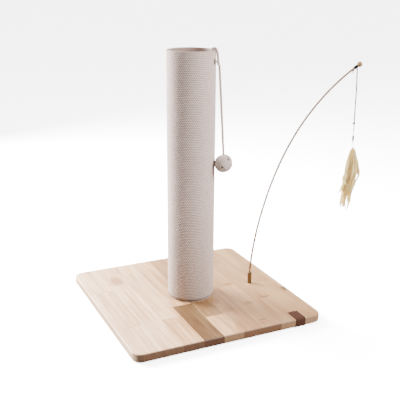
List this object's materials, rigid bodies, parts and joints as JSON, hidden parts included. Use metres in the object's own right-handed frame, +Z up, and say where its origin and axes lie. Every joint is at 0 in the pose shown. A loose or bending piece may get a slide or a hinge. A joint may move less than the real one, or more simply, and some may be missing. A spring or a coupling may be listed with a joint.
{
  "type": "cat scratching post",
  "caption": "Rope-wrapped scratching post on a square wooden board, with a rope ball on a cord and a tassel lure on a springy wand.",
  "frame": {"origin": "on the floor, under the middle of the square board and of the post", "axes": "+Z up the post, +X from the post towards the wand, -Y towards the edge with the leather tag"},
  "size_m": [0.6948, 0.4512, 0.5976],
  "materials": {
    "stave_light": "clear matt lacquer over straight grain",
    "stave_mid": "clear matt lacquer over straight grain",
    "stave_dark": "clear matt lacquer over straight grain",
    "plug_wood": "bare sawn wood",
    "rod_wood": "smooth, lightly waxed",
    "bead_wood": "turned and waxed",
    "kraft_tube": "spiral-wound kraft board, matt",
    "cotton_rope": "twisted cotton rope, unbleached",
    "ball_rope": "twisted cotton rope, unbleached",
    "black_thread": "waxed black thread",
    "raffia": "dry raffia strips",
    "leather": "dyed brown, matt grain",
    "pad_rubber": "soft matt rubber",
    "bush_brass": "turned",
    "ferrule_brass": "aged, brushed lengthwise",
    "fixing_steel": "zinc plated",
    "ring_steel": "bright",
    "barrel_black": "black nickel"
  },
  "bodies": {
    "root": {"base_stave_1": "stave_light", "base_stave_2": "stave_mid", "base_stave_3": "stave_mid", "base_stave_4": "stave_dark", "base_stave_5": "stave_dark", "base_stave_6": "stave_mid", "base_stave_7": "stave_mid", "base_stave_8": "stave_mid", "base_stave_9": "stave_light", "edge_strip_left": "stave_light", "edge_strip_right": "stave_light", "foot_pad_centre": "pad_rubber", "foot_pad_front_left": "pad_rubber", "foot_pad_front_right": "pad_rubber", "foot_pad_back_left": "pad_rubber", "foot_pad_back_right": "pad_rubber", "leather_tag": "leather", "core_tube": "kraft_tube", "rope_wrap": "cotton_rope", "bottom_plug": "plug_wood", "plug_screws": "fixing_steel", "tube_nails": "fixing_steel", "wall_loop": "cotton_rope", "socket_bush": "bush_brass"},
    "knot": {"cord_knot": "cotton_rope"},
    "ball": {"ball_cord": "cotton_rope", "ball_core": "plug_wood", "ball_winding": "ball_rope"},
    "ferrule": {"ferrule": "ferrule_brass"},
    "rod_lower": {"rod_lower": "rod_wood"},
    "rod_middle": {"rod_middle": "rod_wood"},
    "rod_upper": {"rod_upper": "rod_wood", "tip_bead": "bead_wood", "thread_whipping": "black_thread"},
    "line": {"line_string": "black_thread", "line_knot": "black_thread", "line_leader": "black_thread", "line_ring": "ring_steel"},
    "swivel": {"swivel_barrel": "barrel_black"},
    "lure": {"swivel_pin": "ring_steel", "snap_wire": "ring_steel", "tassel_binding": "raffia", "raffia_tassel": "raffia"}
  },
  "joints": [
    {"name": "wand_lift", "type": "slide", "parent": "root", "child": "ferrule", "axis": [0, 0, 1], "range_m": [0, 0.03]},
    {"name": "wand_turn", "type": "hinge", "parent": "ferrule", "child": "rod_lower", "pos_m": [0.156, -0.0086, 0.04], "axis": [0, 0, 1], "range_deg": [-135, 150]},
    {"name": "rod_flex_lower", "type": "hinge", "parent": "rod_lower", "child": "rod_middle", "pos_m": [0.18266, -0.0086, 0.1948], "axis": [0, 1, 0], "range_deg": [-10, 15], "stiffness_Nm_per_rad": 0.6, "springref_deg": -6.88},
    {"name": "rod_flex_upper", "type": "hinge", "parent": "rod_middle", "child": "rod_upper", "pos_m": [0.22731, -0.0086, 0.3114], "axis": [0, 1, 0], "range_deg": [-12, 18], "stiffness_Nm_per_rad": 0.5, "springref_deg": -6.88},
    {"name": "line_swing", "type": "hinge", "parent": "rod_upper", "child": "line", "pos_m": [0.4385, -0.0086, 0.53494], "axis": [0, 1, 0], "range_deg": [-60, 30]},
    {"name": "lure_sway", "type": "hinge", "parent": "line", "child": "swivel", "pos_m": [0.4415, -0.0086, 0.36719], "axis": [-1, 0, 0], "range_deg": [-60, 60]},
    {"name": "swivel_spin", "type": "hinge", "parent": "swivel", "child": "lure", "pos_m": [0.4415, -0.0086, 0.35134], "axis": [0, 0, 1], "continuous": true},
    {"name": "ball_sway", "type": "hinge", "parent": "root", "child": "knot", "pos_m": [0.04649, -0.03632, 0.565], "axis": [-0.788, 0.6157, 0], "range_deg": [-45, 45]},
    {"name": "ball_swing", "type": "hinge", "parent": "knot", "child": "ball", "pos_m": [0.04649, -0.03632, 0.565], "axis": [-0.6157, -0.788, 0], "range_deg": [0, 75]}
  ]
}
